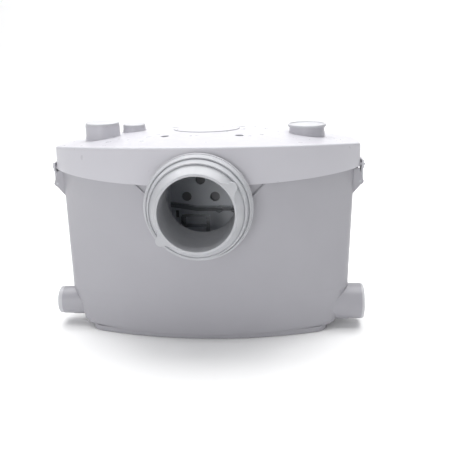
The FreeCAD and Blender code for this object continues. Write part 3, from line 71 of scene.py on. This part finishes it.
class Shader:
    """A node material that is put together one node at a time."""

    def __init__(self, name):
        self.material = bpy.data.materials.new(name)
        self.material.use_nodes = True
        self.tree = self.material.node_tree
        self.surface = self.tree.nodes["Principled BSDF"]
        self.place = self.node("ShaderNodeTexCoord").outputs["Object"]
        self.bumps = None

    def node(self, kind, **settings):
        made = self.tree.nodes.new(kind)
        for key, value in settings.items():
            setattr(made, key, value)
        return made

    def link(self, source, target):
        self.tree.links.new(source, target)

    def stretched(self, scale):
        mapping = self.node("ShaderNodeMapping")
        mapping.inputs["Scale"].default_value = scale
        self.link(self.place, mapping.inputs["Vector"])
        return mapping.outputs["Vector"]

    def noise(self, scale, detail=3.0, place=None):
        made = self.node("ShaderNodeTexNoise")
        made.inputs["Scale"].default_value = scale
        made.inputs["Detail"].default_value = detail
        self.link(place or self.place, made.inputs["Vector"])
        return made.outputs["Fac"]

    def between(self, value, low, high):
        made = self.node("ShaderNodeMapRange")
        made.inputs["From Min"].default_value = NOISE_LOW
        made.inputs["From Max"].default_value = NOISE_HIGH
        made.inputs["To Min"].default_value = low
        made.inputs["To Max"].default_value = high
        self.link(value, made.inputs["Value"])
        return made.outputs["Result"]

    def tint(self, value, dark, light):
        ramp = self.node("ShaderNodeValToRGB")
        ramp.color_ramp.elements[0].position = NOISE_LOW
        ramp.color_ramp.elements[0].color = dark
        ramp.color_ramp.elements[1].position = NOISE_HIGH
        ramp.color_ramp.elements[1].color = light
        self.link(value, ramp.inputs["Fac"])
        self.link(ramp.outputs["Color"], self.surface.inputs["Base Color"])

    def rough(self, value, low, high):
        self.link(self.between(value, low, high), self.surface.inputs["Roughness"])

    def bump(self, value, depth, strength=1.0):
        made = self.node("ShaderNodeBump")
        made.inputs["Distance"].default_value = depth
        made.inputs["Strength"].default_value = strength
        self.link(value, made.inputs["Height"])
        if self.bumps:
            self.link(self.bumps, made.inputs["Normal"])
        self.bumps = made.outputs["Normal"]
        self.link(self.bumps, self.surface.inputs["Normal"])

    def set(self, **values):
        for key, value in values.items():
            self.surface.inputs[key.replace("_", " ")].default_value = value


def shade(colour, factor):
    return tuple(c * factor for c in colour[:3]) + (1.0,)


def moulded(name, colour, roughness, depth=0.00002, ripple=0.00006):
    """Injection-moulded plastic: slight flow marks, fine spark grain, wide shallow sink marks."""
    made = Shader(name)
    made.tint(made.noise(14.0, 4.0), shade(colour, 0.985), shade(colour, 1.012))
    made.rough(made.noise(90.0, 4.0), roughness - 0.05, roughness + 0.06)
    made.bump(made.noise(9.0, 1.0), ripple, 0.5)
    made.bump(made.noise(SPARK_GRAIN, 2.0), depth, 0.6)
    made.set(IOR=1.5)
    return made.material


def rubber(name, colour, roughness, bloom=1.12):
    """Soft rubber: dull, with faint bloom and a fine matt skin."""
    made = Shader(name)
    made.tint(made.noise(38.0, 6.0), shade(colour, 0.94), shade(colour, bloom))
    made.rough(made.noise(160.0, 3.0), roughness - 0.08, roughness + 0.08)
    made.bump(made.noise(900.0, 3.0), 0.00003, 0.7)
    made.set(IOR=1.52)
    return made.material


def brushed(name, colour, along, roughness=0.3):
    """Metal with fine brush lines along one direction."""
    made = Shader(name)
    scale = tuple(30.0 if axis == along else 1500.0 for axis in "xyz")
    lines = made.noise(1.0, 4.0, made.stretched(scale))
    made.tint(lines, shade(colour, 0.8), colour)
    made.rough(lines, roughness - 0.08, roughness + 0.12)
    made.bump(lines, 0.00001, 0.5)
    made.set(Metallic=1.0)
    return made.material


def cast(name, colour, roughness=0.5, metallic=1.0):
    """Cast or painted metal with an orange-peel skin."""
    made = Shader(name)
    made.tint(made.noise(60.0, 6.0), shade(colour, 0.85), shade(colour, 1.08))
    made.rough(made.noise(220.0, 4.0), roughness - 0.1, roughness + 0.1)
    made.bump(made.noise(450.0, 4.0), 0.00008, 0.6)
    made.set(Metallic=metallic)
    return made.material


def wound(name, colour):
    """Varnished copper wire laid side by side."""
    made = Shader(name)
    wave = made.node("ShaderNodeTexWave", wave_type="BANDS", bands_direction="X")
    wave.inputs["Scale"].default_value = 260.0
    wave.inputs["Distortion"].default_value = 0.6
    made.link(made.place, wave.inputs["Vector"])
    made.tint(made.noise(120.0), shade(colour, 0.7), colour)
    made.bump(wave.outputs["Fac"], 0.0002)
    made.rough(made.noise(200.0), 0.25, 0.45)
    made.set(Metallic=0.9)
    return made.material


def foam(name, colour):
    """Open-cell filter foam."""
    made = Shader(name)
    cells = made.node("ShaderNodeTexVoronoi")
    cells.inputs["Scale"].default_value = 700.0
    made.link(made.place, cells.inputs["Vector"])
    made.tint(cells.outputs["Distance"], shade(colour, 0.5), shade(colour, 1.5))
    made.bump(cells.outputs["Distance"], 0.0004)
    made.rough(made.noise(300.0), 0.8, 0.95)
    return made.material


looks = {
    "shell_plastic": moulded("shell", srgb(160, 159, 165), 0.36, ripple=0.00003),
    "lid_plastic": moulded("lid", srgb(189, 188, 194), 0.32, ripple=0.00001),
    "cap_plastic": moulded("caps", srgb(188, 188, 192), 0.34),
    "clip_plastic": moulded("clips", srgb(190, 190, 195), 0.32),
    "sleeve_rubber": rubber("sleeve", srgb(177, 178, 182), 0.4, 1.05),
    "seal_rubber": rubber("seals", srgb(40, 41, 43), 0.6),
    "inner_plastic": moulded("inner", srgb(232, 235, 240), 0.42, depth=0.00004),
    "pipe_plastic": moulded("pipes", srgb(168, 170, 172), 0.45),
    "box_plastic": moulded("boxes", srgb(52, 52, 55), 0.5, depth=0.00004),
    "stainless": brushed("stainless", srgb(186, 188, 192), "x"),
    "motor_steel": cast("motor_paint", srgb(92, 95, 99), 0.42, 0.2),
    "motor_cast": cast("cast_alloy", srgb(188, 190, 193)),
    "winding_copper": wound("windings", srgb(196, 120, 70)),
    "brass_fitting": brushed("brass", srgb(196, 160, 96), "x"),
    "filter_foam": foam("filter", srgb(48, 48, 48)),
}
for entry in frame["record"]["subparts"]:
    mesh = nodes[entry["node"]].data
    mesh.materials.clear()
    mesh.materials.append(looks[entry["material_slot"]])


# Floor, light and camera

def add_floor():
    """A pale floor that sweeps up into a backdrop behind the object."""
    profile = [(FLOOR_FRONT, 0.0), (FLOOR_BACK, 0.0)]
    for step in range(1, FLOOR_TURN_STEPS + 1):
        angle = math.radians(90 * step / FLOOR_TURN_STEPS)
        rise = FLOOR_TURN * (1 - math.cos(angle))
        profile.append((FLOOR_BACK + FLOOR_TURN * math.sin(angle), rise))
    profile.append((FLOOR_BACK + FLOOR_TURN, BACKDROP_TOP))
    vertices = [(side * FLOOR_HALF, y, z) for y, z in profile for side in (-1, 1)]
    faces = [(2 * i, 2 * i + 1, 2 * i + 3, 2 * i + 2) for i in range(len(profile) - 1)]
    mesh = bpy.data.meshes.new("floor")
    mesh.from_pydata(vertices, [], faces)
    for face in mesh.polygons:
        face.use_smooth = True
    floor = bpy.data.objects.new("floor", mesh)
    bpy.context.collection.objects.link(floor)
    made = Shader("floor_paint")
    made.tint(made.noise(3.0), srgb(252, 252, 252), srgb(255, 255, 255))
    made.rough(made.noise(30.0), 0.7, 0.9)
    mesh.materials.append(made.material)


def add_light(name, place, target, size, power):
    data = bpy.data.lights.new(name, "AREA")
    data.shape = "RECTANGLE"
    data.size, data.size_y = size
    data.energy = power
    light = bpy.data.objects.new(name, data)
    bpy.context.collection.objects.link(light)
    aim = Vector(target) - Vector(place)
    turn = aim.to_track_quat("-Z", "Y").to_matrix().to_4x4()
    light.matrix_world = Matrix.Translation(place) @ turn


def add_camera():
    data = bpy.data.cameras.new("camera")
    data.sensor_width = SENSOR
    data.lens = FOCAL_PIXELS / IMAGE * SENSOR
    data.shift_x = (IMAGE / 2 - CENTRE_X) / IMAGE
    data.shift_y = (CENTRE_Y - IMAGE / 2) / IMAGE
    camera = bpy.data.objects.new("camera", data)
    bpy.context.collection.objects.link(camera)
    right = Vector(CAMERA_RIGHT).normalized()
    back = right.cross(Vector(CAMERA_UP)).normalized()
    up = back.cross(right)
    turn = Matrix((right, up, back)).transposed().to_4x4()
    camera.matrix_world = Matrix.Translation(CAMERA_PLACE) @ turn
    bpy.context.scene.camera = camera


def add_world(strength):
    world = bpy.data.worlds.new("studio")
    world.use_nodes = True
    background = world.node_tree.nodes["Background"]
    background.inputs["Color"].default_value = (0.96, 0.98, 1.0, 1.0)
    background.inputs["Strength"].default_value = strength
    bpy.context.scene.world = world


add_floor()
add_camera()
add_world(WORLD_STRENGTH)
for row in LIGHTS:
    add_light(*row)
bpy.context.scene.view_settings.view_transform = "Standard"
